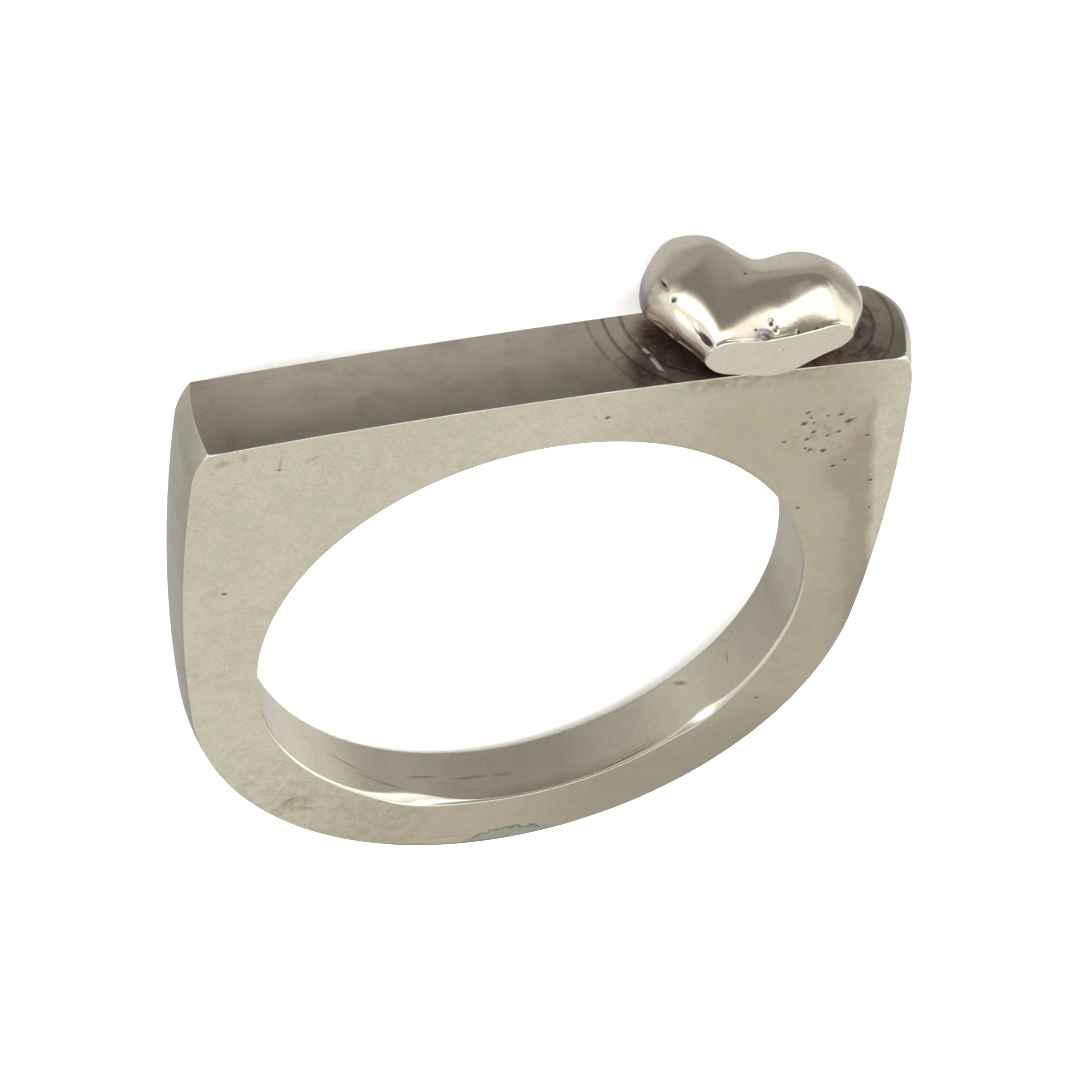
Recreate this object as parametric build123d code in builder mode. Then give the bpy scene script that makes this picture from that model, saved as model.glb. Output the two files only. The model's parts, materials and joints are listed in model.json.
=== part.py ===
from build123d import *
import os
from collections import namedtuple
from math import atan2, cos, radians, sin, sqrt

# Heart ring, in millimetres: a D-shaped silver band with a flat bar on top, and a small puffed heart
# soldered on the bar near one end. It is drawn upright, with X along the bar, Y from the front face to
# the back face and Z up through the middle of the bar, and the finger hole's centre as the origin.
# At the end it is laid down on its back face, the way it comes to rest on a table.

# Finger hole
bore_radius = 8.65
bore_edge_wear = 0.18

# Outline of the band, seen from the front. The side curves in at a shoulder just under the top's corner.
bar_height = 10.70
bar_half_length = 10.12
bar_crown = 0.32
shoulder_drop = 1.16
shoulder_width = 0.46
foot_radius = 10.70
foot_drop = 0.37
hip_angle = 5.0

# Thickness of the band from its front face to its back face, how far its sides and foot bulge between
# the two faces, and how much higher the top's right end is at the back than at the front
width_at_top = 2.89
width_at_foot = 2.03
bulge = 0.45
twist = 0.20

# Heart: its place on the bar, and its size
heart_along = 6.0
heart_across = 0.60
heart_turn = 21.0
heart_lean = 3.0
heart_half_width = 3.20
heart_lobe_reach = 1.96
heart_point_reach = 3.50
heart_equator = 0.86
heart_rise = 1.42
heart_belly = 1.06
heart_ridge = 0.42
heart_proud = 0.05
round_fullness = 0.55
belly_fullness = 0.70

# The band's outlines from the back face to the front face. Depth is a share of the half thickness,
# right, left and foot are shares of the bulge, and rise is a share of the twist.
BandSection = namedtuple("BandSection", "depth right left foot rise")
band_sections = (
    BandSection(1.00, -0.35, -0.10, 0.00, 1.00),
    BandSection(0.35, 0.95, 0.25, 0.35, 0.70),
    BandSection(-0.35, 0.68, 0.25, 0.35, 0.35),
    BandSection(-1.00, 0.00, 0.00, 0.00, 0.00),
)

# The heart's sections from its left end to its right end. Across is a share of the half width, back of
# the lobes' reach, front of the point's reach, and rise of the heart's rise over its widest line.
# Fullness is how round the slope to the point is: 0 is straight and 0.55 is a quarter ellipse.
HeartSection = namedtuple("HeartSection", "across back front rise fullness")
heart_sections = (
    HeartSection(-0.97, 0.27, 0.11, 0.42, 0.55),
    HeartSection(-0.88, 0.60, 0.22, 0.74, 0.55),
    HeartSection(-0.70, 0.91, 0.41, 0.95, 0.55),
    HeartSection(-0.47, 1.00, 0.63, 1.00, 0.50),
    HeartSection(-0.22, 0.88, 0.90, 0.89, 0.35),
    HeartSection(0.00, 0.73, 0.92, 0.76, 0.20),
    HeartSection(0.22, 0.92, 0.78, 0.74, 0.20),
    HeartSection(0.47, 0.98, 0.62, 0.76, 0.35),
    HeartSection(0.70, 0.80, 0.47, 0.72, 0.55),
    HeartSection(0.88, 0.50, 0.29, 0.57, 0.55),
    HeartSection(0.97, 0.20, 0.14, 0.33, 0.55),
)

# Slope of the two faces, which come nearer to each other from the bar's top down to the foot
band_foot = foot_drop + foot_radius
taper = atan2((width_at_top - width_at_foot) / 2, bar_height + band_foot)


def face_depth(height):
    """Distance from the middle of the band to either face at a height over the finger hole's centre."""
    half_top, half_foot = width_at_top / 2, width_at_foot / 2
    return half_top + (height - bar_height) * (half_top - half_foot) / (bar_height + band_foot)


def depth_plane(depth):
    """Plane across the band, from the front face (-1) through the middle (0) to the back face (1)."""
    origin = (0, depth * face_depth(0), 0)
    tilt = depth * taper
    return Plane(origin=origin, x_dir=(1, 0, 0), z_dir=(0, -cos(tilt), sin(tilt)))


def band_outline(right, left, foot, rise):
    """D outline of the band: crown, two shoulders, two sides and foot, each let out by its own length."""
    radius = foot_radius + foot
    hip = radians(hip_angle)
    hip_x = radius * cos(hip)
    hip_z = -foot_drop - radius * sin(hip)
    corner_z = bar_height - bar_crown
    shoulder_x, shoulder_z = bar_half_length + shoulder_width, corner_z - shoulder_drop
    left_corner = (-bar_half_length - left, corner_z)
    right_corner = (bar_half_length + right, corner_z + rise)
    with BuildLine() as outline:
        ThreePointArc(left_corner, (0, bar_height), right_corner)
        for side, out, up, corner in ((1, right, rise, right_corner), (-1, left, 0, left_corner)):
            shoulder = (side * (shoulder_x + out), shoulder_z + up)
            flank = TangentArc((side * hip_x, hip_z), shoulder, tangent=(side * sin(hip), cos(hip)))
            TangentArc(flank @ 1, corner, tangent=flank % 1)
        ThreePointArc((-hip_x, hip_z), (0, -foot_drop - radius), (hip_x, hip_z))
    return outline.edges()


# Band: four outlines lofted from the back face to the front face, with the finger hole cut through
with BuildPart() as band:
    for row in band_sections:
        outline = band_outline(row.right * bulge, row.left * bulge, row.foot * bulge, row.rise * twist)
        with BuildSketch(depth_plane(row.depth)):
            make_face(outline)
    loft()
    with BuildSketch(Plane.XZ):
        Circle(bore_radius)
    extrude(amount=width_at_top, both=True, mode=Mode.SUBTRACT)
    bore_wall = band.faces().filter_by(GeomType.CYLINDER)[0]
    chamfer(bore_wall.edges().filter_by(GeomType.LINE, reverse=True), length=bore_edge_wear)

# The heart lies on the crowned bar, turned about the bar's normal and leaning a little
heart_foot = bar_height - bar_crown * (heart_along / bar_half_length) ** 2
turn, lean = radians(-heart_turn), radians(heart_lean)
heart_plane = Plane(
    origin=(heart_along, heart_across, heart_foot),
    x_dir=(cos(turn) * cos(lean), sin(turn) * cos(lean), sin(lean)),
    z_dir=(-cos(turn) * sin(lean), -sin(turn) * sin(lean), cos(lean)),
)


def heart_point(across, along, up):
    """Point of the upright ring for a place in the heart's own frame."""
    return heart_plane.from_local_coords(Vector(across, along, up))


def quarter(level, peak, fullness):
    """Quarter of an oval from a point at its level end to its peak, as round as its fullness says."""
    (level_x, level_y), (peak_x, peak_y) = level, peak
    level_handle = (level_x, level_y + fullness * (peak_y - level_y))
    peak_handle = (peak_x + fullness * (level_x - peak_x), peak_y)
    return Bezier(level, level_handle, peak_handle, peak)


# Heart: ovals of four curves, lofted from a point at the left end to a point at the right end, and filed
# off flush with the band's front face
with BuildPart() as heart:
    ovals = []
    for row in heart_sections:
        back = (row.back * heart_lobe_reach, heart_equator)
        front = (-row.front * heart_point_reach, heart_equator)
        ridge = back[0] + heart_ridge * (front[0] - back[0])
        rise = row.rise * heart_rise
        top = (ridge, heart_equator + rise)
        under = (ridge, heart_equator - min(rise, heart_belly))
        across = row.across * heart_half_width
        section_plane = Plane(heart_point(across, 0, 0), x_dir=heart_plane.y_dir, z_dir=heart_plane.x_dir)
        with BuildSketch(section_plane) as oval:
            with BuildLine():
                quarter(back, top, round_fullness)
                quarter(front, top, row.fullness)
                quarter(front, under, belly_fullness)
                quarter(back, under, belly_fullness)
            make_face()
        ovals.append(oval.sketch)
    tips = [Vertex(*heart_point(side * heart_half_width, 0, heart_equator)) for side in (-1, 1)]
    loft(sections=[tips[0], *ovals, tips[1]])
    split(bisect_by=depth_plane(-1).offset(heart_proud), keep=Keep.BOTTOM)

# Soldered: one solid
with BuildPart() as ring:
    add(band.part)
    add(heart.part)

# Laid down, the ring touches the table in two places: the heart's lobe that stands out furthest behind
# the band, and the back face's lower rim on the far side of the ring's centre of mass from that lobe.
lobe_places = [
    heart_point(row.across * heart_half_width, row.back * heart_lobe_reach, heart_equator)
    for row in heart_sections
]
lobe = max(lobe_places, key=lambda place: place.Y)
mass_centre = ring.part.center(CenterOf.MASS)
rim_radius = foot_radius + band_sections[0].foot * bulge
rim_centre = Vector(0, 0, -foot_drop)
away = Vector(mass_centre.X - lobe.X, 0, mass_centre.Z - lobe.Z).normalized()
from_rim = Vector(lobe.X, 0, lobe.Z) - rim_centre
reach = -from_rim.dot(away) + sqrt(from_rim.dot(away) ** 2 - from_rim.length**2 + rim_radius**2)
rim_spoke = (from_rim + away * reach).normalized()
rim_height = rim_centre.Z + rim_spoke.Z * rim_radius
rim = Vector(rim_spoke.X * rim_radius, face_depth(rim_height), rim_height)
rim_tangent = Vector(-rim_spoke.Z, sin(taper) * rim_spoke.X, rim_spoke.X)
upward = rim_tangent.cross(lobe - rim).normalized()
if upward.Y > 0:
    upward = -upward
table = Plane(origin=rim, x_dir=(-1, 0, 0), z_dir=upward)
box = table.to_local_coords(ring.part).bounding_box()
under_middle = table.from_local_coords(Vector(box.center().X, box.center().Y, box.min.Z))
table = Plane(origin=under_middle, x_dir=table.x_dir, z_dir=table.z_dir)

with BuildPart() as heart_ring:
    add(table.to_local_coords(ring.part))
heart_ring.part.label = "heart_ring"

os.makedirs("parts", exist_ok=True)
export_step(heart_ring.part, "parts/heart_ring.step")

hole_centre = table.to_local_coords(Vector(0, 0, 0))
hole_axis = table.to_local_coords(Vector(0, -1, 0)) - hole_centre
print("volume", round(heart_ring.part.volume, 2), "mm3")
print("size", heart_ring.part.bounding_box())
print("finger hole centre", hole_centre, "axis", hole_axis)
print("table normal in the upright ring", table.z_dir, "x", table.x_dir, "origin", table.origin)
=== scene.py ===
"""Heart ring: a D-shaped silver band with a flat bar on top and a small puffed heart soldered near one end.

Every shape is worked out in the upright ring's own frame, in millimetres: X along the bar, Y from the front
face to the back face, Z up through the middle of the bar, and the finger hole's centre as the origin. The
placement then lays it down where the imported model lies.
"""

import json
import logging
from dataclasses import dataclass
from enum import Enum
from math import cos, degrees, pi, radians, sin
from typing import NamedTuple, Sequence

import bpy
import numpy as np
from mathutils import Matrix


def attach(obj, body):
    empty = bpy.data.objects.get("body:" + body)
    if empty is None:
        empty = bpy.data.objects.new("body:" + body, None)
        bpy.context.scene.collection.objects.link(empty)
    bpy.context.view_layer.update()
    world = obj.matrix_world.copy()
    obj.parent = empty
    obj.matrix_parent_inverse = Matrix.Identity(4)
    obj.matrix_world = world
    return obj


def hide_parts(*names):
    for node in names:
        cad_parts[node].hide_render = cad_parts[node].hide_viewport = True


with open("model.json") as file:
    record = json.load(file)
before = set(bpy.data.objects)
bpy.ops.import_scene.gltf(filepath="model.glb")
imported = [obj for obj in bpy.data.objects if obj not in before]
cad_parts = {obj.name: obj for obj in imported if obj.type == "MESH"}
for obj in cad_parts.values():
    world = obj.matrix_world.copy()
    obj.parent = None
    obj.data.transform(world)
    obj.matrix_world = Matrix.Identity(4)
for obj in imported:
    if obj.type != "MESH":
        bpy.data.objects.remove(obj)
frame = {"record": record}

LOG = logging.getLogger("heart_ring")
MM = 0.001
NODE = "heart_ring"
Array = np.ndarray


class Finish(Enum):
    """The finishes that the ring's metal shows, each with a material of its own."""

    SATIN_FACE = "satin_face"
    BACK_FACE = "back_face"
    BRUSHED_TOP = "brushed_top"
    FLANK = "satin_flank"
    BORE = "worn_bore"
    HEART = "polished_heart"
    FACET = "filed_facet"
    RIM = "burnished_rim"
    EDGE = "scuffed_edge"

    @property
    def number(self) -> int:
        """The finish's place among the band's materials."""
        return list(Finish).index(self)


class Stretch(Enum):
    """The stretches of the band's outline, in the order in which they are walked from the bar's left end."""

    BAR = 0
    RIGHT_CORNER = 1
    RIGHT_SHOULDER = 2
    RIGHT_FLANK = 3
    FOOT = 4
    LEFT_FLANK = 5
    LEFT_SHOULDER = 6
    LEFT_CORNER = 7


def unit(vector: Array) -> Array:
    """Returns the vector, or each vector of the last axis, at length one."""
    return vector / np.linalg.norm(vector, axis=-1, keepdims=True)


def blend(low: float, high: float, value: Array) -> Array:
    """Smooth step: 0 under low, 1 over high, and 3t^2 - 2t^3 between them."""
    share = np.clip((value - low) / (high - low), 0.0, 1.0)
    return share * share * (3.0 - 2.0 * share)


def natural_spline(knots: Array, values: Array, at: Array) -> Array:
    """Cubic curve through the knots with no bend at its two ends, carried on straight outside them.

    Args:
        knots: Rising places, shape (k,).
        values: The curve's height at each place, shape (k,).
        at: Places to work it out at, of any shape.

    Returns:
        The heights at those places. On each span the height is the straight line between its two knots
        plus (a^3 - a) and (b^3 - b) times the second slopes at its ends, times a sixth of the span squared.
    """
    spans = np.diff(knots)
    count = len(knots)
    system = np.eye(count)
    bends = np.zeros(count)
    inner = np.arange(1, count - 1)
    system[inner, inner - 1] = spans[:-1]
    system[inner, inner] = 2 * (spans[:-1] + spans[1:])
    system[inner, inner + 1] = spans[1:]
    slopes = np.diff(values) / spans
    bends[1:-1] = 6 * np.diff(slopes)
    second = np.linalg.solve(system, bends)
    span = np.clip(np.searchsorted(knots, at) - 1, 0, count - 2)
    width = spans[span]
    b = (at - knots[span]) / width
    a = 1 - b
    inside_a, inside_b = np.clip(a, 0, 1), np.clip(b, 0, 1)
    line = a * values[span] + b * values[span + 1]
    curve = (inside_a**3 - inside_a) * second[span] + (inside_b**3 - inside_b) * second[span + 1]
    return line + curve * width**2 / 6


@dataclass(frozen=True)
class Placement:
    """Where the upright ring lies in the frame: its origin in metres, and its X, Y and Z as columns."""

    origin: Array
    axes: Array

    @classmethod
    def from_record(cls, record: dict) -> "Placement":
        """Reads the place from the finger bore's mount, whose axis points out of the front face.

        Args:
            record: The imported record.

        Returns:
            The placement. The bar's direction has no share along the frame's Y.
        """
        bore = next(mount for mount in record["mounts"] if mount["name"] == "finger_bore")
        inward = -unit(np.array(bore["axis"], float))
        along = unit(np.array([inward[2], 0.0, -inward[0]]))
        axes = np.column_stack([along, inward, np.cross(along, inward)])
        return cls(np.array(bore["pos_m"], float), axes)

    def to_frame(self, points: Array) -> Array:
        """Turns points of the upright ring, in millimetres, into points of the frame, in metres."""
        return self.origin + MM * points @ self.axes.T

    def euler(self) -> tuple[float, float, float]:
        """Returns the turn of the upright ring's axes as XYZ angles."""
        return tuple(Matrix(self.axes.tolist()).to_euler("XYZ"))


PLACE = Placement.from_record(frame["record"])


def sheet_faces(rows: int, columns: int, wrap_rows: bool, wrap_columns: bool) -> Array:
    """Corner numbers of the four-sided faces of a grid of vertices counted row by row.

    Args:
        rows: Number of rows.
        columns: Number of columns.
        wrap_rows: Whether the last row joins the first.
        wrap_columns: Whether the last column joins the first.

    Returns:
        An array of shape (faces, 4), in row order.
    """
    row = np.arange(rows if wrap_rows else rows - 1)[:, None]
    column = np.arange(columns if wrap_columns else columns - 1)[None, :]
    next_row, next_column = (row + 1) % rows, (column + 1) % columns
    corners = (row * columns + column, row * columns + next_column,
               next_row * columns + next_column, next_row * columns + column)
    return np.stack(np.broadcast_arrays(*corners), axis=-1).reshape(-1, 4)


def make_mesh(name: str, points: Array, faces: list, materials: Sequence[bpy.types.Material],
              slots: Array | None = None) -> bpy.types.Object:
    """Makes a smooth mesh object at the frame's origin, with its faces turned outwards.

    Args:
        name: The piece's name.
        points: Vertices in the upright ring, in millimetres, shape (n, 3).
        faces: Faces as arrays of corner numbers, each of shape (faces, corners).
        materials: The piece's materials.
        slots: The material number of each face, or None where there is only one.

    Returns:
        The object, linked to the scene.
    """
    mesh = bpy.data.meshes.new(name)
    rings = [corner for group in faces for corner in group.tolist()]
    mesh.from_pydata(PLACE.to_frame(points), [], rings)
    for material in materials:
        mesh.materials.append(material)
    if slots is not None:
        mesh.polygons.foreach_set("material_index", slots.astype(np.int32))
    mesh.polygons.foreach_set("use_smooth", np.ones(len(mesh.polygons), bool))
    mesh.validate()
    mesh.update()
    piece = bpy.data.objects.new(name, mesh)
    bpy.context.scene.collection.objects.link(piece)
    return piece


def add_piece(piece: bpy.types.Object) -> None:
    """Puts a piece of the ring on the one body and hides the imported node that it stands for.

    Args:
        piece: The piece's object.
    """
    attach(piece, "root")
    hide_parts(NODE)
    LOG.info("%s: %d faces", piece.name, len(piece.data.polygons))


class Wire:
    """A node's output socket that Python's operators work on, so that shader maths reads as expressions."""

    def __init__(self, shop: "Shop", socket: bpy.types.NodeSocket) -> None:
        """Keeps the material's shop and the socket."""
        self.shop = shop
        self.socket = socket

    def _math(self, operation: str, *values: "Wire | float") -> "Wire":
        """Adds a Math node with the operation and its values."""
        return self.shop.node("ShaderNodeMath", {"operation": operation}, dict(enumerate(values)))

    def __add__(self, other: "Wire | float") -> "Wire":
        """Sum."""
        return self._math("ADD", self, other)

    def __radd__(self, other: float) -> "Wire":
        """Sum with a number on the left."""
        return self._math("ADD", other, self)

    def __sub__(self, other: "Wire | float") -> "Wire":
        """Difference."""
        return self._math("SUBTRACT", self, other)

    def __rsub__(self, other: float) -> "Wire":
        """Difference from a number on the left."""
        return self._math("SUBTRACT", other, self)

    def __mul__(self, other: "Wire | float") -> "Wire":
        """Product."""
        return self._math("MULTIPLY", self, other)

    def __rmul__(self, other: float) -> "Wire":
        """Product with a number on the left."""
        return self._math("MULTIPLY", other, self)

    def __truediv__(self, other: "Wire | float") -> "Wire":
        """Quotient."""
        return self._math("DIVIDE", self, other)

    def __rtruediv__(self, other: float) -> "Wire":
        """Quotient with a number on top."""
        return self._math("DIVIDE", other, self)

    def __pow__(self, other: "Wire | float") -> "Wire":
        """Power."""
        return self._math("POWER", self, other)

    def __rpow__(self, other: float) -> "Wire":
        """Power of a number."""
        return self._math("POWER", other, self)

    def __abs__(self) -> "Wire":
        """Size without sign."""
        return self._math("ABSOLUTE", self)

    def most(self, other: "Wire | float") -> "Wire":
        """The larger of two values."""
        return self._math("MAXIMUM", self, other)

    def least(self, other: "Wire | float") -> "Wire":
        """The smaller of two values."""
        return self._math("MINIMUM", self, other)

    def root(self) -> "Wire":
        """Square root."""
        return self._math("SQRT", self)

    def angle(self, other: "Wire | float") -> "Wire":
        """Angle whose tangent is this value over the other, in radians."""
        return self._math("ARCTAN2", self, other)

    def step(self, low: float, high: float) -> "Wire":
        """Smooth step from 0 at low to 1 at high; with low over high it falls from 1 to 0."""
        if low > high:
            return 1.0 - self.step(high, low)
        return self.shop.node("ShaderNodeMapRange", {"interpolation_type": "SMOOTHSTEP", "clamp": True}, {
            "Value": self, "From Min": low, "From Max": high})

    def between(self, low: float, full: float, fade: float, high: float) -> "Wire":
        """1 from full to fade, falling smoothly to 0 at low and at high."""
        return self.step(low, full) * self.step(high, fade)

    def sway(self, reach: float) -> "Wire":
        """A value from 0 to 1 as a swing to both sides of 0, as wide as the reach."""
        return (self - 0.5) * reach

    def distance(self, other: "Wire") -> "Wire":
        """Length of a pair: the root of this value squared plus the other squared."""
        return (self**2.0 + other**2.0).root()


class Coat(NamedTuple):
    """What a surface's marks change: its colour, its roughness, and its relief in millimetres."""

    colour: Wire
    roughness: Wire
    height: Wire


@dataclass(frozen=True)
class Ring3:
    """The three coordinates of the upright ring, in millimetres, as values of a shader."""

    vector: Wire
    x: Wire
    y: Wire
    z: Wire


class Shop:
    """Makes the nodes of one material or of the world."""

    def __init__(self, tree: bpy.types.NodeTree) -> None:
        """Empties the node tree that it works in."""
        self.tree = tree
        tree.nodes.clear()

    def make(self, kind: str, settings: dict | None = None, inputs: dict | None = None) -> bpy.types.Node:
        """Adds a node of any kind.

        Args:
            kind: The node's type.
            settings: Its properties, which are set first.
            inputs: Its sockets by name or number, each a number, a tuple or a wire.

        Returns:
            The node.
        """
        node = self.tree.nodes.new(kind)
        for key, value in (settings or {}).items():
            setattr(node, key, value)
        for key, value in (inputs or {}).items():
            socket = node.inputs[key]
            if isinstance(value, Wire):
                self.tree.links.new(value.socket, socket)
            else:
                socket.default_value = value
        return node

    def node(self, kind: str, settings: dict | None = None, inputs: dict | None = None,
             output: str | int = 0) -> Wire:
        """Adds a node of any kind and returns one of its outputs as a wire."""
        return Wire(self, self.make(kind, settings, inputs).outputs[output])

    def place(self) -> Ring3:
        """Object coordinates turned into the upright ring's, in millimetres."""
        seen = self.node("ShaderNodeTexCoord", output="Object")
        mapped = self.node("ShaderNodeMapping", {"vector_type": "TEXTURE"}, {
            "Vector": seen, "Location": tuple(PLACE.origin), "Rotation": PLACE.euler(),
            "Scale": (MM, MM, MM)})
        split = self.make("ShaderNodeSeparateXYZ", None, {"Vector": mapped})
        return Ring3(mapped, *(Wire(self, split.outputs[axis]) for axis in "XYZ"))

    def vector(self, x: Wire, y: Wire, z: "Wire | float") -> Wire:
        """Puts three values together as one vector."""
        return self.node("ShaderNodeCombineXYZ", None, {"X": x, "Y": y, "Z": z})

    def noise(self, at: Wire, size: float, detail: float = 2.0, rough: float = 0.5) -> Wire:
        """Noise from 0 to 1 whose lumps are about a size in the coordinates' own unit."""
        return self.node("ShaderNodeTexNoise", {"noise_dimensions": "3D"}, {
            "Vector": at, "Scale": 1.0 / size, "Detail": detail, "Roughness": rough}, output="Fac")

    def stretched(self, at: Wire, turn: Sequence[float], sizes: Sequence[float]) -> Wire:
        """Coordinates turned by XYZ degrees, then counted in the sizes of a grain along each axis."""
        return self.node("ShaderNodeMapping", {"vector_type": "TEXTURE"}, {
            "Vector": at, "Rotation": tuple(radians(t) for t in turn), "Scale": tuple(sizes)})

    def mix(self, low: "Wire | tuple", high: "Wire | tuple", share: "Wire | float") -> Wire:
        """Colour between two colours."""
        settings = {"data_type": "RGBA", "blend_type": "MIX"}
        return self.node("ShaderNodeMix", settings, {0: share, 6: low, 7: high}, output=2)

    def tint(self, colour: "Wire | tuple", by: "Wire | tuple", share: "Wire | float") -> Wire:
        """Colour multiplied by another, as far as the share says."""
        settings = {"data_type": "RGBA", "blend_type": "MULTIPLY"}
        return self.node("ShaderNodeMix", settings, {0: share, 6: colour, 7: by}, output=2)


def rgb(red: float, green: float, blue: float) -> tuple[float, float, float, float]:
    """Colour with its alpha."""
    return red, green, blue, 1.0


SILVER = rgb(0.955, 0.900, 0.715)
WARM = rgb(0.955, 0.862, 0.700)
COOL = rgb(0.945, 0.905, 0.745)
TARNISH = rgb(0.60, 0.535, 0.405)
OXIDE = rgb(0.190, 0.142, 0.117)
SOOT = rgb(0.300, 0.235, 0.200)
SMOKE = rgb(0.17, 0.16, 0.21)
PATINA = rgb(0.40, 0.46, 0.39)
PIT = rgb(0.075, 0.050, 0.058)
# Tints are multiplied with the colour under them.
DIRT_TINT = rgb(0.62, 0.57, 0.52)
STAIN_TINT = rgb(0.76, 0.66, 0.60)
SHALLOW_PIT_TINT = rgb(0.27, 0.24, 0.21)
SCRIBED_TINT = rgb(0.34, 0.29, 0.26)
SCRATCH_TINT = rgb(0.42, 0.35, 0.31)
BROWN_TINT = rgb(0.80, 0.69, 0.66)


@dataclass(frozen=True)
class Grain:
    """Fine scratches: lines turned by XYZ degrees, with their sizes along the axes and depth in mm."""

    turn: tuple[float, float, float]
    sizes: tuple[float, float, float]
    depth: float


@dataclass(frozen=True)
class Spot:
    """Round mark on a surface: its middle and radius in the plane's two coordinates, and how strong it is."""

    across: float
    up: float
    radius: float
    strength: float = 1.0

    def away(self, across: Wire, up: Wire) -> Wire:
        """Distance outside the spot's circle, less than 0 inside it."""
        return (across - self.across).distance(up - self.up) - self.radius

    def mask(self, across: Wire, up: Wire, soft: float) -> Wire:
        """1 inside the spot and 0 outside it, with a soft rim that is a share of the radius wide each way."""
        return self.away(across, up).step(self.radius * soft, -self.radius * soft) * self.strength


@dataclass(frozen=True)
class Metal:
    """A silver surface: how rough it is and which scratches it holds.

    The numbers in its marks are places and lengths of the upright ring in millimetres, or shares from 0 to 1.
    """

    name: Finish
    roughness: float
    grains: tuple[Grain, ...]
    mottle: float = 0.10
    tarnish: float = 0.0
    hairlines: float = 0.25
    speckle: float = 0.20
    colour: tuple[float, float, float, float] = SILVER

    def build(self) -> bpy.types.Material:
        """Makes the material, with its scratches, mottling and the marks that its own method adds.

        Returns:
            The material.
        """
        material = bpy.data.materials.new(self.name.value)
        material.use_nodes = True
        shop = Shop(material.node_tree)
        at = shop.place()
        broad = shop.noise(at.vector, 3.2, 3.0)
        fine = shop.noise(at.vector, 0.55, 4.0, 0.6)
        cloud = (broad * 0.6 + fine * 0.4).step(0.35, 0.65)
        lines, height = self.scratches(shop, at)
        dust = shop.noise(at.vector, 0.085, 5.0, 0.8).step(0.36, 0.64)
        worn = cloud * self.mottle + self.tarnish + lines * self.hairlines + dust * self.speckle
        colour = shop.mix(self.colour, TARNISH, worn.least(1.0))
        roughness = self.roughness + fine.sway(0.12)
        colour, roughness, height = self.marks(shop, at, Coat(colour, roughness, height))
        bump = shop.node("ShaderNodeBump", None, {
            "Strength": 1.0, "Distance": MM, "Height": height}, "Normal")
        shader = shop.node("ShaderNodeBsdfPrincipled", None, {
            "Base Color": colour, "Metallic": 1.0, "Roughness": roughness, "Normal": bump}, "BSDF")
        shop.make("ShaderNodeOutputMaterial", None, {"Surface": shader})
        return material

    def scratches(self, shop: Shop, at: Ring3) -> tuple[Wire, Wire]:
        """The fine scratches.

        Args:
            shop: The material's shop.
            at: The place on the ring.

        Returns:
            How dark the scratches are, from 0 to 1, which is the mean of each grain's stretched noise, and
            their height in millimetres, which is the sum of each noise times its grain's depth.
        """
        dark: Wire | float = 0.0
        height: Wire | float = 0.0
        for grain in self.grains:
            lines = shop.noise(shop.stretched(at.vector, grain.turn, grain.sizes), 1.0, 2.0, 0.6)
            dark = lines.step(0.55, 0.72) * (1.0 / len(self.grains)) + dark
            height = lines * grain.depth + height
        return dark, height

    def marks(self, shop: Shop, at: Ring3, coat: Coat) -> Coat:
        """Marks of one surface. The plain metal has none.

        Args:
            shop: The material's shop.
            at: The place on the ring.
            coat: The colour, the roughness and the relief in millimetres so far.

        Returns:
            The same three with the marks.
        """
        return coat


@dataclass(frozen=True)
class Stroke:
    """Long mark on a surface: its middle, half length, half width, direction in degrees and strength."""

    across: float
    up: float
    half_length: float
    half_width: float
    turn: float = 0.0
    strength: float = 1.0

    def mask(self, across: Wire, up: Wire, soft: float) -> Wire:
        """A soft step of the length of (along / half length, aside / half width), round length 1.

        Args:
            across: The surface's first coordinate, in millimetres.
            up: Its second coordinate.
            soft: How wide the soft rim is each way, as a share of the half sizes.

        Returns:
            The mark's strength inside it, and 0 outside.
        """
        turn = radians(self.turn)
        x, y = across - self.across, up - self.up
        along = (x * cos(turn) + y * sin(turn)) / self.half_length
        aside = (y * cos(turn) - x * sin(turn)) / self.half_width
        return along.distance(aside).step(1 + soft, 1 - soft) * self.strength


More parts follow.
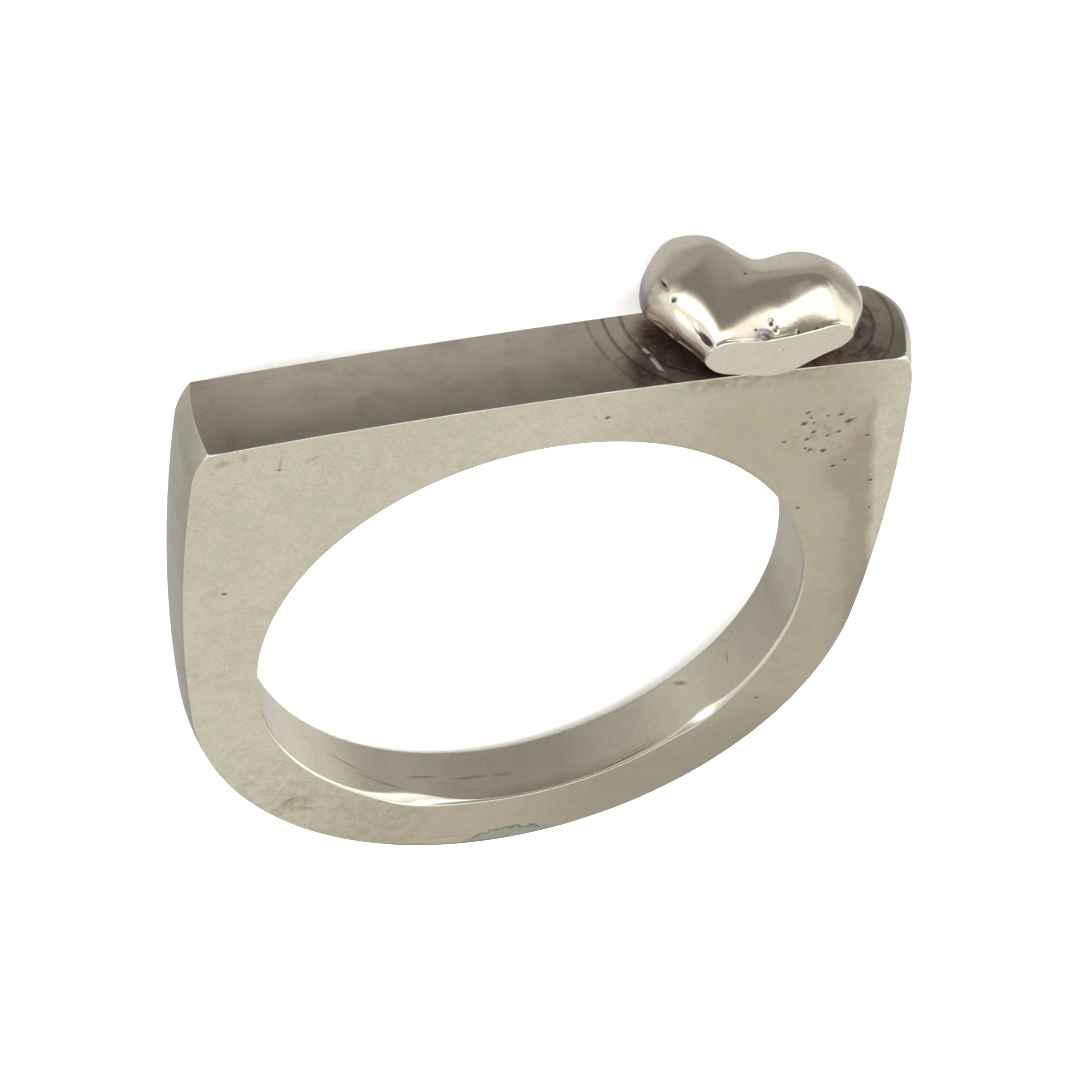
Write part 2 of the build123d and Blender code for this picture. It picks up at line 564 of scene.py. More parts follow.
@dataclass(frozen=True)
class FaceMetal(Metal):
    """Front face: satin silver with a pitted patch, a stripe of painted shade down its right side, a dull
    right half with tarnish and old stains.
    """

    pits: tuple[Spot, ...] = (
        Spot(7.46, 8.59, 0.075), Spot(7.42, 8.13, 0.100), Spot(7.60, 8.35, 0.050), Spot(7.73, 8.11, 0.045),
        Spot(7.80, 7.70, 0.070), Spot(7.63, 7.41, 0.075), Spot(7.64, 7.01, 0.055), Spot(7.84, 6.91, 0.060),
        Spot(8.24, 6.78, 0.095), Spot(8.28, 7.45, 0.060), Spot(8.58, 7.56, 0.070), Spot(8.57, 8.31, 0.065),
        Spot(8.85, 7.97, 0.115), Spot(8.13, 8.33, 0.045), Spot(8.70, 6.01, 0.060), Spot(9.01, 6.22, 0.050),
        Spot(10.05, 5.09, 0.060), Spot(9.59, 7.21, 0.050), Spot(10.28, 3.79, 0.045), Spot(7.88, 4.27, 0.060),
        Spot(6.94, 7.44, 0.055), Spot(1.29, 9.62, 0.080), Spot(8.01, -5.33, 0.060), Spot(-9.65, 4.32, 0.075),
    )
    cracks: tuple[Stroke, ...] = (
        Stroke(-8.11, 9.65, 0.30, 0.035, 84.0, 0.4), Stroke(-8.14, 9.38, 0.07, 0.05, 0.0, 0.6),
        Stroke(-9.74, 9.94, 0.22, 0.11, 15.0, 0.35), Stroke(-9.11, 10.06, 0.08, 0.16, 0.0, 0.3),
        Stroke(-7.16, 9.66, 0.20, 0.05, 25.0, 0.3), Stroke(-9.60, 6.90, 0.30, 0.03, -35.0, 0.2),
        Stroke(-6.95, -7.27, 0.22, 0.06, -20.0, 0.35), Stroke(-7.45, -6.60, 0.26, 0.06, 20.0, 0.35),
        Stroke(9.02, 8.02, 0.10, 0.04, 20.0, 0.5), Stroke(-2.2, -10.35, 0.5, 0.025, -8.0, 0.35),
    )
    pit_flat: float = 1.25
    pit_depth: float = 0.03
    foot_drop: float = 0.37

    def marks(self, shop: Shop, at: Ring3, coat: Coat) -> Coat:
        """Adds the stripe of painted shade, the face's shades with painted shade on its foot and lower right,
        its dirt and stain, the green patina and the pits.

        Args:
            shop: The material's shop.
            at: The place on the ring.
            coat: The colour, the roughness and the relief so far.

        Returns:
            The same three with the marks.
        """
        colour, roughness, height = coat
        wander = shop.noise(at.vector, 1.6, 3.0)
        ragged = shop.noise(at.vector, 0.35, 4.0, 0.65)
        patches = shop.noise(at.vector, 0.75, 3.0, 0.6)
        colour, tarnish_and_shade = self.stripe(shop, at, colour, wander, ragged)
        colour = self.shades(shop, at, colour, patches, ragged)
        colour = self.dirt(shop, at, colour, wander, ragged)
        colour = self.patina(shop, at, colour, patches, ragged)
        across, up = at.x + ragged.sway(0.30), at.z * self.pit_flat
        pits = (Spot(pit.across, pit.up * self.pit_flat, pit.radius) for pit in self.pits)
        pitted = sum(pit.mask(across, up, 0.6) for pit in pits)
        pitted = sum((crack.mask(at.x, at.z, 0.6) for crack in self.cracks), pitted).least(1.0)
        colour = shop.tint(colour, SHALLOW_PIT_TINT, pitted * 0.9)
        roughness = roughness + pitted * 0.25 + tarnish_and_shade * 0.10
        return Coat(colour, roughness, height - pitted * self.pit_depth)

    @staticmethod
    def stripe(shop: Shop, at: Ring3, colour: Wire, wander: Wire, ragged: Wire) -> tuple[Wire, Wire]:
        """The stripe of painted shade down the right side, laid on in the tarnish colour, the cleaner strip
        beside it and the dull right half with its tarnish.

        The stripe's right rim is crisp and leans with height, and fades out under the bar's top. Its left rim
        is soft, and it bulges to the left under the pitted patch.

        Args:
            shop: The material's shop.
            at: The place on the ring.
            colour: The colour so far.
            wander: Slow noise that moves the rims.
            ragged: Fine noise that frays them.

        Returns:
            The colour, and how much tarnish and painted shade the place has, from 0 to 1.
        """
        right_rim = at.z * -0.155 + 10.90 + wander.sway(0.35) + ragged.sway(0.25)
        bulge = abs(at.z - 5.7).step(1.7, 0.2) * 0.7
        wide = at.z.step(9.3, 5.6) * 0.85 + bulge
        left_rim = right_rim - wide + wander.sway(0.7)
        left_soft = (at.x - left_rim + ragged.sway(0.8)).step(-0.95, 0.35)
        stripe = left_soft * (right_rim - at.x).step(-0.05, 0.14) * (0.75 + wander * 0.4)
        stripe = stripe * at.z.between(-7.0, -1.5, 8.7, 9.5)
        dull = (at.x - at.z * 0.56 + wander.sway(2.4)).step(-5.8, 1.2) * 0.66
        past_rim = at.x - right_rim
        crisp, faded = past_rim.step(0.0, 0.15), past_rim.step(-1.2, 1.0)
        fresh = (crisp + (faded - crisp) * at.z.step(8.2, 9.0)) * at.z.step(-3.0, 0.5)
        # The stripe is painted shade, laid on in the tarnish colour; the dull right half is tarnish.
        tarnish_and_shade = (stripe * 0.95).most(dull * (1.0 - fresh))
        colour = shop.mix(colour, TARNISH, tarnish_and_shade)
        colour = shop.tint(colour, rgb(1.0, 0.985, 0.975), dull * 1.4)
        # Painted shade: the stripe is darkened further.
        return shop.tint(colour, rgb(0.87, 0.862, 0.865), stripe * (0.7 + ragged * 0.5)), tarnish_and_shade

    @staticmethod
    def shades(shop: Shop, at: Ring3, colour: Wire, patches: Wire, ragged: Wire) -> Wire:
        """Greenish and brownish patches, painted shade on the foot and the lower right, and the darker lower
        left.

        Args:
            shop: The material's shop.
            at: The place on the ring.
            colour: The colour so far.
            patches: Noise with lumps of about 0.75 mm.
            ragged: Fine noise.

        Returns:
            The colour with them.
        """
        soiled = at.z.step(-2.5, -6.0) * at.x.step(-1.5, -4.0) * ragged.step(0.44, 0.62)
        shades = (
            (rgb(0.930, 0.980, 0.955), patches.step(0.50, 0.64)),
            (rgb(0.955, 0.940, 0.925), patches.step(0.48, 0.34)),
            # Painted shade: this tint and the next darken the foot and the lower right.
            (rgb(0.760, 0.755, 0.745), at.z.step(-4.0, -8.0) * at.x.between(-2.5, 4.0, 8.0, 11.5)),
            (rgb(0.910, 0.910, 0.900), at.x.step(5.0, 9.0) * at.z.step(1.5, -1.5)),
            (rgb(0.880, 0.875, 0.850), soiled),
        )
        for shade, share in shades:
            colour = shop.tint(colour, shade, share)
        return colour

    @staticmethod
    def dirt(shop: Shop, at: Ring3, colour: Wire, wander: Wire, ragged: Wire) -> Wire:
        """Dirt along the top edge beside the heart and between the pits, and a brown stain at the left.

        Args:
            shop: The material's shop.
            at: The place on the ring.
            colour: The colour so far.
            wander: Slow noise.
            ragged: Fine noise that breaks them up.

        Returns:
            The colour with them.
        """
        grime = at.z.step(9.75, 10.55) * at.x.between(2.6, 4.2, 7.4, 8.9) * ragged.step(0.34, 0.62)
        specks = Spot(8.15, 6.85, 0.95).mask(at.x, at.z * 0.9, 0.5) * ragged.step(0.50, 0.64)
        colour = shop.tint(colour, DIRT_TINT, grime * 0.75 + specks * 0.55)
        stain = Spot(-7.50, -6.98, 0.60).mask(at.x, at.z, 0.9) * wander.step(0.35, 0.60)
        return shop.tint(colour, STAIN_TINT, stain * ragged.step(0.30, 0.60) * 0.8)

    def patina(self, shop: Shop, at: Ring3, colour: Wire, patches: Wire, ragged: Wire) -> Wire:
        """Green patina on the foot's outer edge, with a thin dark line round it and along the edge by it.

        Args:
            shop: The material's shop.
            at: The place on the ring.
            colour: The colour so far.
            patches: Noise that clouds it.
            ragged: Fine noise that frays its rim.

        Returns:
            The colour with them.
        """
        rim = at.x.distance(at.z + self.foot_drop)
        thick = abs(at.x + 0.10).step(2.2, 0.3) * 0.64
        green_rim = 10.72 - thick + ragged.sway(0.75)
        low = at.z.step(-9.6, -10.0) * at.x.between(-3.6, -2.4, 2.0, 3.2)
        green = (rim - green_rim).step(-0.04, 0.10) * low
        colour = shop.mix(colour, PATINA, (green * (0.35 + patches * 0.7)).least(0.85))
        outline = abs(rim - green_rim).step(0.09, 0.02) * low * thick.step(0.15, 0.4)
        colour = shop.tint(colour, rgb(0.42, 0.43, 0.38), outline * 0.8)
        beside = at.z.step(-9.2, -9.9) * at.x.between(-4.6, -3.6, -0.6, 0.4)
        return shop.tint(colour, rgb(0.60, 0.63, 0.58), rim.step(10.52, 10.66) * beside * 0.8)


@dataclass(frozen=True)
class TopMetal(Metal):
    """Top of the bar: brushed along its length, with scribed circles and near-black oxide round the heart."""

    left_circles: tuple[Spot, ...] = (
        Spot(4.56, 0.99, 2.25), Spot(4.56, 0.99, 2.77), Spot(4.56, 0.99, 3.26, 0.55),
    )
    right_circles: tuple[Spot, ...] = (Spot(8.30, 0.15, 1.32), Spot(8.08, 0.32, 2.16))
    oxide: tuple[Spot, ...] = (Spot(5.00, -1.20, 3.10), Spot(6.60, -0.60, 3.10))

    def marks(self, shop: Shop, at: Ring3, coat: Coat) -> Coat:
        """Adds the top's painted shade and its other shades, the oxide, the scribed circles and the streak of
        solder.

        Args:
            shop: The material's shop.
            at: The place on the ring.
            coat: The colour, the roughness and the relief so far.

        Returns:
            The same three with the marks.
        """
        colour, roughness, height = coat
        left, right = (spot.away(at.x, at.y) for spot in self.oxide)
        soot = left.least(right)
        ragged = shop.noise(at.vector, 0.45, 5.0, 0.65)
        wide = shop.noise(at.vector, 1.3, 3.0)
        rough_edge = soot + ragged.sway(0.9) + wide.sway(0.8)
        oxide = rough_edge.step(0.35, -0.40)
        bare = ragged.step(0.58, 0.68) * 0.20
        haze = soot.step(3.6, 0.0)
        colour = shop.mix(colour, TARNISH, haze * 0.50)
        # Painted shade: the top is darker towards its front edge. It is also darker at its two ends.
        colour = shop.tint(colour, rgb(0.70, 0.69, 0.68), at.y.step(0.9, -1.35))
        ends = at.x.step(-7.5, -10.0).most(at.x.step(9.2, 10.2) * 1.6)
        colour = shop.tint(colour, rgb(0.84, 0.82, 0.81), ends)
        smudges = shop.noise(at.vector, 0.9, 4.0, 0.6).step(0.46, 0.66)
        colour = shop.tint(colour, rgb(0.88, 0.87, 0.86), smudges)
        sooty = shop.noise(at.vector, 0.28, 5.0, 0.7).step(0.36, 0.62)
        crust = shop.mix(OXIDE, SOOT, sooty * wide.step(0.42, 0.58))
        crust = shop.tint(crust, rgb(0.62, 0.58, 0.57), ragged.step(0.52, 0.40))
        colour = shop.mix(colour, crust, oxide * (1.0 - bare) * 0.97)
        scribed: Wire | float = 0.0
        for circles, side in ((self.left_circles, -1.0), (self.right_circles, 1.0)):
            for circle in circles:
                line = abs(circle.away(at.x, at.y) + wide.sway(0.08)).step(0.075, 0.025)
                half = ((at.x - circle.across) * side).step(0.0, 0.8)
                scribed = line * half * circle.strength + scribed
        scribed = (scribed * ragged.step(0.30, 0.48)).least(1.0)
        colour = shop.tint(colour, SCRIBED_TINT, scribed * 0.72)
        streak_line = (at.x - 2.78) * -3.2 - 0.45
        streak = abs(at.y - streak_line).step(0.35, 0.12) * abs(at.y + 0.45).step(0.55, 0.35)
        streak = streak * ragged.step(0.40, 0.50)
        colour = shop.mix(colour, SILVER, streak * 0.75)
        roughness = roughness + oxide * 0.22 + scribed * 0.2 - streak * 0.1
        return Coat(colour, roughness, height - scribed * 0.006 + oxide * ragged * 0.010 + streak * 0.02)


@dataclass(frozen=True)
class BoreMetal(Metal):
    """Wall of the finger hole: satin along its length, with rubbed streaks and scratches."""

    radius: float = 8.65
    scratches_seen: tuple[Stroke, ...] = (
        Stroke(-6.91, 0.61, 0.24, 0.07, -35.0, 0.9), Stroke(-4.88, 0.14, 0.20, 0.04, 70.0, 0.6),
        Stroke(-19.47, 0.00, 0.75, 0.035, -12.0, 0.6), Stroke(-18.20, -0.43, 0.80, 0.04, -10.0, 0.7),
        Stroke(-16.57, -0.02, 0.45, 0.04, 4.0, 0.6), Stroke(-14.81, -0.09, 0.55, 0.05, 2.0, 0.6),
        Stroke(-9.60, -0.92, 1.30, 0.035, 3.0, 0.8), Stroke(-9.10, -0.78, 0.80, 0.025, 3.0, 0.6),
        Stroke(-13.70, -0.12, 0.30, 0.05, 0.0, 0.5),
    )

    def marks(self, shop: Shop, at: Ring3, coat: Coat) -> Coat:
        """Adds scratches, placed by their way round the hole and their depth, and soft bands across it.

        Args:
            shop: The material's shop.
            at: The place on the ring.
            coat: The colour, the roughness and the relief so far.

        Returns:
            The same three with the marks.
        """
        colour, roughness, height = coat
        around = at.z.angle(at.x) * self.radius
        ragged = shop.noise(at.vector, 0.30, 4.0, 0.65)
        dark = sum(scratch.mask(around, at.y, 0.6) for scratch in self.scratches_seen)
        dark = dark.least(1.0) * ragged.step(0.26, 0.46)
        colour = shop.tint(colour, SCRATCH_TINT, dark)
        bands = shop.noise(shop.vector(around, at.y * 0.35, 0.0), 1.6, 3.0, 0.55)
        colour = shop.mix(colour, TARNISH, bands.step(0.38, 0.68) * 0.22)
        front = at.y.step(-0.45, -1.05) * abs(around + 11.5).step(3.9, 1.8)
        colour = shop.tint(colour, rgb(0.76, 0.73, 0.70), front * 0.8)
        return Coat(colour, roughness + dark * 0.1, height - dark * 0.004)


@dataclass(frozen=True)
class HeartMetal(Metal):
    """Heart: polished, with casting pits, a split in its left flank, a smoky spot and a brown film."""

    pits: tuple[Stroke, ...] = (
        Stroke(3.30, 0.82, 0.17, 0.035, -78.0), Stroke(3.40, 0.21, 0.07, 0.05),
        Stroke(5.61, 0.60, 0.05, 0.04, 0.0, 0.7), Stroke(5.89, -1.07, 0.07, 0.05, 30.0),
        Stroke(5.97, -1.27, 0.06, 0.05), Stroke(6.61, -1.42, 0.055, 0.035),
        Stroke(7.12, -1.47, 0.08, 0.035, 20.0), Stroke(6.18, 1.50, 0.05, 0.14, -15.0),
        Stroke(5.40, -1.20, 0.05, 0.03),
    )
    split: Stroke = Stroke(3.98, -1.12, 0.33, 0.050, -66.0)
    smoke: Stroke = Stroke(5.60, -1.38, 0.26, 0.14, 10.0)
    brown: Stroke = Stroke(6.86, -1.40, 0.85, 0.13, 0.0, 0.8)

    def marks(self, shop: Shop, at: Ring3, coat: Coat) -> Coat:
        """Adds the haze of polishing, brown film, smoky spot, painted reflection on its foot, split and pits.

        Args:
            shop: The material's shop.
            at: The place on the ring.
            coat: The colour, the roughness and the relief so far.

        Returns:
            The same three with the marks.
        """
        colour, roughness, height = coat
        haze = shop.noise(at.vector, 0.8, 4.0, 0.6)
        ragged = shop.noise(at.vector, 0.14, 3.0, 0.6)
        above = at.z.step(11.3, 11.7)
        film = self.brown.mask(at.x, at.y, 0.4) * ragged.step(0.30, 0.55) * above
        colour = shop.tint(colour, BROWN_TINT, film)
        smoke = self.smoke.mask(at.x, at.y, 0.6) * ragged.step(0.25, 0.50) * above
        colour = shop.mix(colour, SMOKE, smoke * 0.9)
        # Painted reflection: the lower flanks are tinted darker and cooler, standing in for the dark bar
        # mirrored in them, and the lower left is cooled further.
        base = at.z.step(12.00, 11.62) * (0.6 + ragged * 0.8)
        colour = shop.tint(colour, rgb(0.58, 0.53, 0.60), base.least(1.0))
        under_left = at.z.step(12.35, 11.95) * at.x.step(4.6, 3.6)
        colour = shop.tint(colour, rgb(0.88, 0.90, 0.98), under_left)
        dark = sum((pit.mask(at.x, at.y, 0.6) for pit in self.pits), self.split.mask(at.x, at.y, 0.3))
        dark = dark.least(1.0) * above
        colour = shop.mix(colour, PIT, dark * 0.95)
        roughness = roughness + haze.step(0.45, 0.75) * 0.05 + dark * 0.2
        return Coat(colour, roughness, height + haze.sway(0.004))


def face_grains(depth: float) -> tuple[Grain, ...]:
    """Fine scratches that lie in a face at four angles."""
    turns = (12.0, -38.0, 55.0, -75.0)
    return tuple(Grain((0.0, turn, 0.0), (1.6, 0.6, 0.030), depth) for turn in turns)


METALS: tuple[Metal, ...] = (
    FaceMetal(Finish.SATIN_FACE, 0.34, face_grains(0.0013), mottle=0.14, hairlines=0.46, speckle=0.34),
    Metal(Finish.BACK_FACE, 0.36, face_grains(0.0013), mottle=0.22, tarnish=0.08),
    TopMetal(Finish.BRUSHED_TOP, 0.24, (
        Grain((0.0, 0.0, 2.0), (3.0, 0.035, 1.0), 0.0007), Grain((0.0, 0.0, -1.0), (1.2, 0.10, 1.0), 0.0009)),
        mottle=0.16, tarnish=0.03, colour=WARM),
    Metal(Finish.FLANK, 0.30, (
        Grain((8.0, 0.0, 0.0), (0.8, 0.05, 1.4), 0.0012), Grain((-30.0, 0.0, 0.0), (0.8, 0.06, 1.2), 0.0010)),
        mottle=0.34, tarnish=0.02, colour=COOL),
    BoreMetal(Finish.BORE, 0.24, (Grain((0.0, 0.0, 0.0), (0.8, 0.045, 0.8), 0.0007),),
              mottle=0.14, speckle=0.24, colour=rgb(0.960, 0.892, 0.705)),
    HeartMetal(Finish.HEART, 0.09, (Grain((20.0, 10.0, 35.0), (0.9, 0.05, 0.05), 0.00018),),
               mottle=0.06, colour=WARM),
    Metal(Finish.FACET, 0.27, (Grain((0.0, -28.0, 0.0), (1.6, 0.5, 0.045), 0.0016),),
          mottle=0.06, hairlines=0.45, colour=rgb(0.955, 0.885, 0.715)),
    Metal(Finish.RIM, 0.08, (Grain((0.0, 0.0, 0.0), (0.5, 0.06, 0.5), 0.0003),),
          mottle=0.05, speckle=0.08, colour=rgb(0.965, 0.93, 0.83)),
    Metal(Finish.EDGE, 0.26, (Grain((0.0, 0.0, 0.0), (0.2, 0.05, 0.2), 0.001),),
          mottle=0.0, speckle=0.05, colour=rgb(0.97, 0.94, 0.84)),
)


def arc(start: Array, heading: Array, end: Array, shares: Array) -> Array:
    """Points of an arc that leaves a start point along a heading and ends at an end point.

    With N square to the heading, its radius is the chord squared over twice the chord's share along N. Its
    points are start + radius (sin(turn) heading + (1 - cos(turn)) N).

    Args:
        start: Start points, shape (depths, 2).
        heading: Unit vectors, shape (depths, 2).
        end: End points, shape (depths, 2).
        shares: Shares of the turn, shape (k,) or (depths, k).

    Returns:
        Points of shape (depths, k, 2).
    """
    normal = np.stack([-heading[:, 1], heading[:, 0]], axis=-1)
    chord = end - start
    ahead, aside = (chord * heading).sum(-1), (chord * normal).sum(-1)
    aside = np.where(np.abs(aside) < 1e-9, 1e-9, aside)
    radius = (chord**2).sum(-1) / (2 * aside)
    turn = 2 * np.arctan2(aside * np.sign(aside), ahead) * np.sign(aside)
    angle = turn[:, None] * np.atleast_2d(shares)
    return (start[:, None] + np.abs(radius)[:, None, None] * (
        np.sin(np.abs(angle))[..., None] * heading[:, None]
        + (1 - np.cos(angle))[..., None] * (normal * np.sign(aside)[:, None])[:, None]))


@dataclass
class Band:
    """The D-shaped band, a closed surface. Its rows go round the hole, and its columns round its section.

    Lengths are in millimetres. The four shares of each let-out belong to the front face, a third in from it,
    a third in from the back face, and the back face.
    """

    bore_radius: float = 8.65
    bar_height: float = 10.70
    bar_half_length: float = 10.12
    bar_crown: float = 0.32
    shoulder_drop: float = 1.16
    shoulder_width: float = 0.46
    foot_radius: float = 10.70
    foot_drop: float = 0.37
    hip_angle: float = 5.0
    width_at_top: float = 2.89
    width_at_foot: float = 2.03
    bulge: float = 0.44
    twist: float = 0.27
    depth_knots: tuple[float, ...] = (-1.0, -0.35, 0.35, 1.0)
    right_shares: tuple[float, ...] = (0.0, 0.68, 0.95, -0.35)
    left_shares: tuple[float, ...] = (0.0, 0.25, 0.25, -0.10)
    foot_shares: tuple[float, ...] = (0.0, 0.34, 0.34, 0.0)
    rise_shares: tuple[float, ...] = (0.0, 0.35, 0.70, 1.0)
    crown_across: float = 0.06
    front_corner_round: float = 0.032
    right_corner_out: float = 0.08
    right_corner_wear: float = 0.38
    left_corner_wear: float = -0.017
    crown_fade: tuple[float, float] = (9.4, 10.1)
    edge_round: float = 0.022
    back_round: float = 0.06
    outer_back_round: float = 0.05
    bore_round: float = 0.11
    bore_round_least: float = 0.05
    rim_wear_most: float = 0.44
    bevel_least: float = 0.02
    bevel_share: float = 0.52
    bevel_power: float = 1.10
    bar_stations: int = 210
    foot_stations: int = 230
    flank_stations: int = 64
    shoulder_stations: int = 20
    outer_columns: int = 25
    face_columns: int = 18
    bore_columns: int = 13
    round_columns: int = 6

    @property
    def fall(self) -> float:
        """Height of the band from the bar's top to the foot."""
        return self.bar_height + self.foot_drop + self.foot_radius

    def face_depth(self, height: Array | float) -> Array | float:
        """Distance from the middle of the band to either face at a height over the hole's centre."""
        half_top, half_foot = self.width_at_top / 2, self.width_at_foot / 2
        return half_top + (height - self.bar_height) * (half_top - half_foot) / self.fall

    def let_out(self, shares: Sequence[float], depth: Array) -> Array:
        """Cubic curve through the four shares, at each depth."""
        return np.polyval(np.polyfit(self.depth_knots, shares, 3), depth)

    def outline(self, depth: Array) -> tuple[Array, Array]:
        """The D outline at each depth share, with its two top corners rounded.

        Args:
            depth: Depth shares from -1 at the front face to 1 at the back face, shape (depths,).

        Returns:
            Points of shape (depths, stations, 2), and each station's stretch, shape (stations,).
        """
        right = self.let_out(self.right_shares, depth) * self.bulge
        left = self.let_out(self.left_shares, depth) * self.bulge
        foot = self.let_out(self.foot_shares, depth) * self.bulge
        rise = self.let_out(self.rise_shares, depth) * self.twist
        zero = np.zeros_like(depth)
        corner_height = self.bar_height - self.bar_crown
        left_corner = np.stack([-self.bar_half_length - left, zero + corner_height], -1)
        right_end = self.bar_half_length + self.right_corner_out + right
        right_corner = np.stack([right_end, corner_height + rise], -1)
        towards_back = ((1 + depth) / 2) ** 2
        right_cut = self.front_corner_round + self.right_corner_wear * towards_back
        left_cut = self.front_corner_round + self.left_corner_wear * towards_back
        bar = self.crown(left_corner, right_corner, left_cut, right_cut, self.bar_stations)
        right_flank, right_shoulder = self.side(1, right, rise, foot, right_corner, right_cut)
        left_flank, left_shoulder = self.side(-1, left, zero, foot, left_corner, left_cut)
        hip = radians(self.hip_angle)
        turns = np.linspace(-hip, -pi + hip, self.foot_stations)
        radius = (self.foot_radius + foot)[:, None]
        bottom = np.stack([radius * np.cos(turns), -self.foot_drop + radius * np.sin(turns)], -1)
        parts = (
            (Stretch.BAR, bar),
            (Stretch.RIGHT_CORNER, self.corner_curve(bar[:, -1], right_corner, right_shoulder[:, -1])),
            (Stretch.RIGHT_SHOULDER, right_shoulder[:, ::-1]),
            (Stretch.RIGHT_FLANK, right_flank[:, -2:0:-1]),
            (Stretch.FOOT, bottom),
            (Stretch.LEFT_FLANK, left_flank[:, 1:-1]),
            (Stretch.LEFT_SHOULDER, left_shoulder),
            (Stretch.LEFT_CORNER, self.corner_curve(left_shoulder[:, -1], left_corner, bar[:, 0])),
        )
        stretches = np.concatenate([np.full(points.shape[1], name.value) for name, points in parts])
        return np.concatenate([points for _, points in parts], axis=1), stretches

    def side(self, side: int, out: Array, up: Array, foot: Array, corner: Array,
             cut: Array) -> tuple[Array, Array]:
        """One side of the outline from the hip up: the flank's arc, then the shoulder's arc to the corner.

        Args:
            side: 1 for the right side and -1 for the left.
            out: How far the shoulder is let out at each depth, shape (depths,).
            up: How far the shoulder is raised.
            foot: How much the foot's radius is let out.
            corner: Top corners, shape (depths, 2).
            cut: How much of the shoulder's arc is left off before the corner.

        Returns:
            Points of the flank and points of the shoulder, each of shape (depths, count, 2).
        """
        hip = radians(self.hip_angle)
        radius = self.foot_radius + foot
        start = np.stack([side * radius * cos(hip), -self.foot_drop - radius * sin(hip)], -1)
        heading = np.broadcast_to(np.array([side * sin(hip), cos(hip)]), start.shape)
        shoulder = np.stack([side * (self.bar_half_length + self.shoulder_width + out),
                             self.bar_height - self.bar_crown - self.shoulder_drop + up], -1)
        flank = arc(start, heading, shoulder, np.linspace(0, 1, self.flank_stations))
        leaving = unit(flank[:, -1] - flank[:, -2])
        reach = 1 - cut / np.linalg.norm(corner - shoulder, axis=-1)
        shares = np.linspace(0, 1, self.shoulder_stations) * reach[:, None]
        return flank, arc(shoulder, leaving, corner, shares)

    def crown(self, left: Array, right: Array, left_cut: Array, right_cut: Array, count: int) -> Array:
        """The bar's crowned top: the circle through both corners and the top's middle, cut short at its ends.

        Args:
            left: Left corners, shape (depths, 2).
            right: Right corners, shape (depths, 2).
            left_cut: How much of the circle is left off at the left, shape (depths,).
            right_cut: How much is left off at the right.
            count: Points along it, evenly spaced in angle.

        Returns:
            Points of shape (depths, count, 2).
        """
        first, second = np.array([0.0, self.bar_height]) - left, right - left
        cross = 2 * (first[:, 0] * second[:, 1] - first[:, 1] * second[:, 0])
        square_first, square_second = (first**2).sum(-1), (second**2).sum(-1)
        centre = left + np.stack([(second[:, 1] * square_first - first[:, 1] * square_second) / cross,
                                  (first[:, 0] * square_second - second[:, 0] * square_first) / cross], -1)
        radius = np.linalg.norm(left - centre, axis=-1)
        start = np.arctan2(*(left - centre).T[::-1]) - left_cut / radius
        end = np.arctan2(*(right - centre).T[::-1]) + right_cut / radius
        angle = start[:, None] + (end - start)[:, None] * np.linspace(0, 1, count)
        return centre[:, None] + radius[:, None, None] * np.stack([np.cos(angle), np.sin(angle)], -1)

    @staticmethod
    def corner_curve(before: Array, corner: Array, after: Array) -> Array:
        """Points between two ends on the curve drawn towards a corner, (1-t)^2 a + 2t(1-t) corner + t^2 b."""
        share = np.linspace(0, 1, 9)[1:-1, None]
        return ((1 - share) ** 2 * before[:, None] + 2 * share * (1 - share) * corner[:, None]
                + share**2 * after[:, None])

    def outer(self, flat: Array, depth: Array, on_bar: Array) -> Array:
        """The outer surface: each outline set at its depth and tilted with it, and the bar domed across.

        The dome is its height times 1 - depth^2, and fades out towards the bar's two ends.

        Args:
            flat: Outlines, shape (depths, stations, 2).
            depth: Their depth shares.
            on_bar: Whether a station is on the bar's top.

        Returns:
            Points of shape (stations, depths, 3).
        """
        tilt = (depth * np.arctan((self.width_at_top - self.width_at_foot) / 2 / self.fall))[:, None]
        at_centre = (depth * self.face_depth(0.0))[:, None]
        height = flat[..., 1]
        outer = np.stack([flat[..., 0], at_centre + height * np.sin(tilt), height * np.cos(tilt)], -1)
        outer = outer.transpose(1, 0, 2)
        domed = on_bar[:, None] * (1 - blend(*self.crown_fade, np.abs(outer[..., 0])))
        outer[..., 2] += self.crown_across * domed * (1 - depth**2)
        return outer

    def rim(self, edge: Array, end: int) -> Array:
        """The hole's rim in the front (-1) or back face (1): the outer edge drawn in to the hole's circle."""
        circle = unit(edge[:, [0, 2]]) * self.bore_radius
        return np.stack([circle[:, 0], end * self.face_depth(circle[:, 1]), circle[:, 1]], -1)

